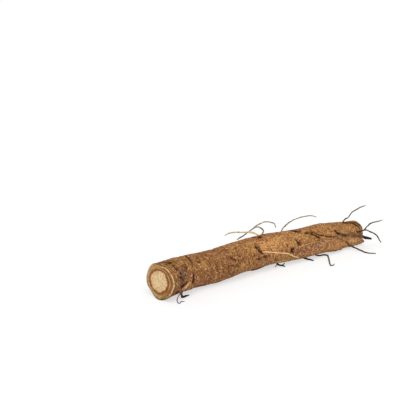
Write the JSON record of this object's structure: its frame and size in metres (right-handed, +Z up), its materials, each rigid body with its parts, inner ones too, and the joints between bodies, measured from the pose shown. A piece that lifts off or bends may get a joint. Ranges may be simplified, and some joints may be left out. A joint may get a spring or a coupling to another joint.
{
  "type": "burdock root",
  "caption": "Cut length of burdock taproot lying on its side, with brown wrinkled bark, a pale ringed cut face, a broken thin end and fine rootlets.",
  "frame": {"origin": "under the middle of the bounding box, on the surface the root lies on", "axes": "+X along the root from the cut face to the broken thin end, +Z up; the hollow side of its slight bow faces -Y, and so does the slanted cut"},
  "size_m": [0.2174, 0.0684, 0.038],
  "materials": {
    "bark": "matt, fine-wrinkled brown bark",
    "cut_flesh": "matt, freshly cut, pale cream core inside tan rings",
    "rootlet": "matt, dry, grey-brown"
  },
  "bodies": {
    "root": {"burdock_root": "bark"}
  },
  "joints": []
}
